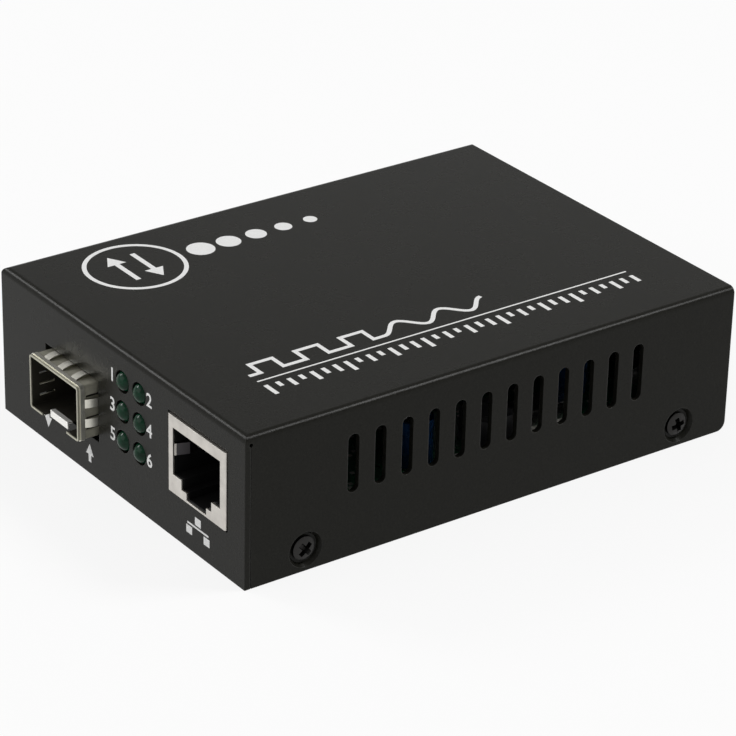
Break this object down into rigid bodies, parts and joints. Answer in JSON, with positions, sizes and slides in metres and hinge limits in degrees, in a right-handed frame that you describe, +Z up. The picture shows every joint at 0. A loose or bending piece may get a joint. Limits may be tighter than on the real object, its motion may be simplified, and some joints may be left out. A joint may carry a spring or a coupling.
{
  "type": "fibre media converter",
  "caption": "Desktop fibre media converter in a folded steel case, with an open optical module cage, a copper network jack, indicator lamps and side vent slots.",
  "frame": {"origin": "centre of the case's underside, which rests on a surface", "axes": "+X right across the front, +Y from the front to the back, +Z up"},
  "size_m": [0.0702, 0.0974, 0.0256],
  "materials": {
    "case_paint": "fine charcoal powder coat on steel",
    "screw_black": "black oxide",
    "zinc_steel": "zinc-plated",
    "board_green": "solder mask",
    "cage_steel": "nickel-plated, warm grey",
    "finger_steel": "spring steel",
    "shield_tin": "tin-plated, satin",
    "black_plastic": "moulded",
    "contact_gold": "gold flash",
    "lead_tin": "tinned",
    "lamp_green": "clear tinted lens, unlit",
    "package_black": "moulded package",
    "sink_aluminium": "extruded",
    "can_aluminium": "bright",
    "sleeve_blue": "shrunk sleeve",
    "ferrite_grey": "pressed ferrite",
    "crystal_can": "drawn can",
    "ceramic_tan": "ceramic",
    "print_white": "screen-printed marks, drawn only in the render"
  },
  "bodies": {
    "root": {"top_cover": "case_paint", "base_tray": "case_paint", "case_screws": "screw_black", "board_standoffs": "zinc_steel", "board_screws": "zinc_steel", "main_board": "board_green", "sfp_cage": "cage_steel", "sfp_emi_fingers": "finger_steel", "sfp_host_connector": "black_plastic", "sfp_host_contacts": "contact_gold", "rj45_shield": "shield_tin", "rj45_housing": "black_plastic", "rj45_contacts": "contact_gold", "lamp_holder": "black_plastic", "lamp_leads": "lead_tin", "lamp_left_bottom": "lamp_green", "lamp_left_middle": "lamp_green", "lamp_left_top": "lamp_green", "lamp_right_bottom": "lamp_green", "lamp_right_middle": "lamp_green", "lamp_right_top": "lamp_green", "dc_jack_housing": "black_plastic", "dc_jack_pin": "lead_tin", "dc_jack_spring": "lead_tin", "line_transformer": "package_black", "line_transformer_leads": "lead_tin", "converter_chip": "package_black", "heat_sink": "sink_aluminium", "crystal": "crystal_can", "memory_chip": "package_black", "memory_chip_leads": "lead_tin", "power_inductor": "ferrite_grey", "regulator": "package_black", "regulator_leads": "lead_tin", "capacitor_cans": "can_aluminium", "capacitor_sleeves": "sleeve_blue", "capacitor_leads": "lead_tin", "chip_components": "ceramic_tan"}
  },
  "joints": []
}
